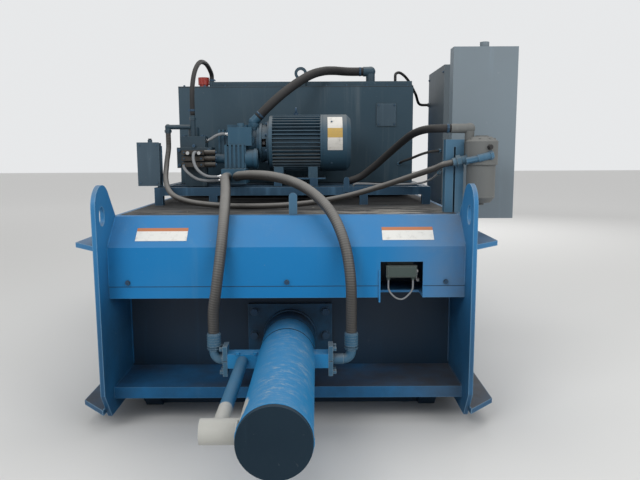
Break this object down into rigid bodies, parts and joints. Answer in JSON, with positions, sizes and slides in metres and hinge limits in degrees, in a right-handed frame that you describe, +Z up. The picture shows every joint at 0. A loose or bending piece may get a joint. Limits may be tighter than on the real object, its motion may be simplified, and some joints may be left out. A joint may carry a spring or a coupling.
{
  "type": "recycling baler",
  "caption": "Horizontal closed-door recycling baler with a hydraulic ram, deck-mounted power unit, feed hopper and hinged bale door.",
  "frame": {"origin": "floor under the bulkhead that carries the cylinder, on the centre plane", "axes": "+X towards the operator side, +Y from the cylinder end to the bale door, +Z up"},
  "size_m": [2.3706, 5.2306, 2.0107],
  "materials": {
    "plate_paint": "worn gloss",
    "cover_paint": "dusty",
    "body_paint": "satin",
    "shade_paint": "dusty dark",
    "deck_dirt": "dirty",
    "bolt_paint": "worn",
    "cylinder_paint": "dusty",
    "cap_paint": "dusty dark",
    "fitting_paint": "oversprayed",
    "primer": "primer",
    "wear_steel": "worn",
    "rod_chrome": "polished",
    "ram_steel": "scuffed",
    "platen_steel": "scuffed",
    "latch_yellow": "worn",
    "frame_paint": "dusty",
    "tank_paint": "oil stained",
    "cap_red": "gloss",
    "motor_paint": "satin",
    "fan_black": "matte",
    "pump_paint": "satin",
    "manifold_paint": "oily",
    "solenoid_black": "matte",
    "filter_cast": "cast",
    "post_paint": "dusty",
    "panel_paint": "dusty",
    "cabinet_paint": "satin",
    "box_paint": "dusty",
    "switch_grey": "satin",
    "button_red": "gloss",
    "button_green": "gloss",
    "hose_brown": "dusty",
    "hose_black": "dusty",
    "cable_grey": "matte"
  },
  "bodies": {
    "frame": {"side_plates": "plate_paint", "side_stiffeners": "plate_paint", "rear_cover": "cover_paint", "hex_bolts": "bolt_paint", "floor_plate": "cover_paint", "floor_beams": "shade_paint", "bulkhead": "shade_paint", "roof": "body_paint", "deck_plate": "deck_dirt", "fixed_knife": "wear_steel", "hopper": "body_paint", "hinge_pins": "wear_steel", "cylinder_flange": "cylinder_paint", "cylinder_barrel": "cylinder_paint", "cylinder_cap": "cap_paint", "cylinder_gland": "cap_paint", "port_blocks": "cylinder_paint", "hose_fittings": "fitting_paint", "cap_pipe": "primer", "limit_switch": "switch_grey", "unit_frame": "frame_paint", "tank": "tank_paint", "tank_lid": "tank_paint", "motor_body": "motor_paint", "motor_cowl": "motor_paint", "bellhousing": "motor_paint", "pump": "pump_paint", "valve_manifold": "manifold_paint", "solenoid_valves": "solenoid_black", "return_filter": "filter_cast", "filter_bowl": "filter_cast", "equipment_posts": "post_paint", "panel_box": "panel_paint", "starter_cabinet": "cabinet_paint", "junction_box": "box_paint", "pressure_hose_left": "hose_brown", "pressure_hose_right": "hose_brown", "return_hose": "hose_brown", "suction_hose": "hose_black", "filter_hose": "hose_black", "tank_hose": "hose_black", "control_cables": "cable_grey"},
    "ram": {"piston": "wear_steel", "piston_rod": "rod_chrome", "rod_pin": "wear_steel", "ram_body": "ram_steel", "ram_platen": "platen_steel", "ram_knife": "wear_steel"},
    "bale_door": {"bale_door": "body_paint"},
    "latch": {"door_latch": "latch_yellow"},
    "access_door": {"hopper_door": "body_paint"},
    "panel_lid": {"panel_door": "panel_paint"},
    "stop_head": {"e_stop": "button_red"},
    "start_head": {"start_button": "button_green"},
    "cabinet_lid": {"starter_door": "cabinet_paint"},
    "main_switch": {"disconnect_handle": "button_red"},
    "rotor": {"motor_shaft": "wear_steel", "motor_fan": "fan_black"},
    "lever": {"switch_lever": "wear_steel"},
    "fill_cap": {"filler_cap": "cap_red"}
  },
  "joints": [
    {"name": "ram_slide", "type": "slide", "parent": "frame", "child": "ram", "axis": [0, 1, 0], "range_m": [0, 1.2]},
    {"name": "bale_door_hinge", "type": "hinge", "parent": "frame", "child": "bale_door", "pos_m": [-0.97, 3.715, 0.6], "axis": [0, 0, 1], "range_deg": [0, 110]},
    {"name": "latch_turn", "type": "hinge", "parent": "frame", "child": "latch", "pos_m": [0.97, 3.715, 0.6], "axis": [0, 0, 1], "range_deg": [0, 100]},
    {"name": "access_door_hinge", "type": "hinge", "parent": "frame", "child": "access_door", "pos_m": [0.908, 1.788, 1.44], "axis": [0, 0, -1], "range_deg": [0, 95]},
    {"name": "panel_door_hinge", "type": "hinge", "parent": "frame", "child": "panel_lid", "pos_m": [1.294, 0.255, 1.5], "axis": [0, 0, -1], "range_deg": [0, 110]},
    {"name": "stop_press", "type": "slide", "parent": "panel_lid", "child": "stop_head", "axis": [0, -1, 0], "range_m": [0, 0.005]},
    {"name": "start_press", "type": "slide", "parent": "panel_lid", "child": "start_head", "axis": [0, -1, 0], "range_m": [0, 0.004], "stiffness_N_per_m": 500, "springref_m": -0.002},
    {"name": "cabinet_door_hinge", "type": "hinge", "parent": "frame", "child": "cabinet_lid", "pos_m": [1.272, 1.545, 1.5], "axis": [0, 0, 1], "range_deg": [0, 110]},
    {"name": "main_switch_turn", "type": "hinge", "parent": "cabinet_lid", "child": "main_switch", "pos_m": [1.285, 1.054, 1.655], "axis": [1, 0, 0], "range_deg": [0, 90]},
    {"name": "motor_spin", "type": "hinge", "parent": "frame", "child": "rotor", "pos_m": [0, 0.74, 1.457], "axis": [1, 0, 0], "continuous": true},
    {"name": "lever_turn", "type": "hinge", "parent": "frame", "child": "lever", "pos_m": [0.66, -0.312, 0.8], "axis": [1, 0, 0], "range_deg": [0, 25], "stiffness_Nm_per_rad": 2, "springref_deg": -5.73},
    {"name": "fill_cap_lift", "type": "slide", "parent": "frame", "child": "fill_cap", "axis": [0, 0, 1], "range_m": [0, 0.05]}
  ]
}
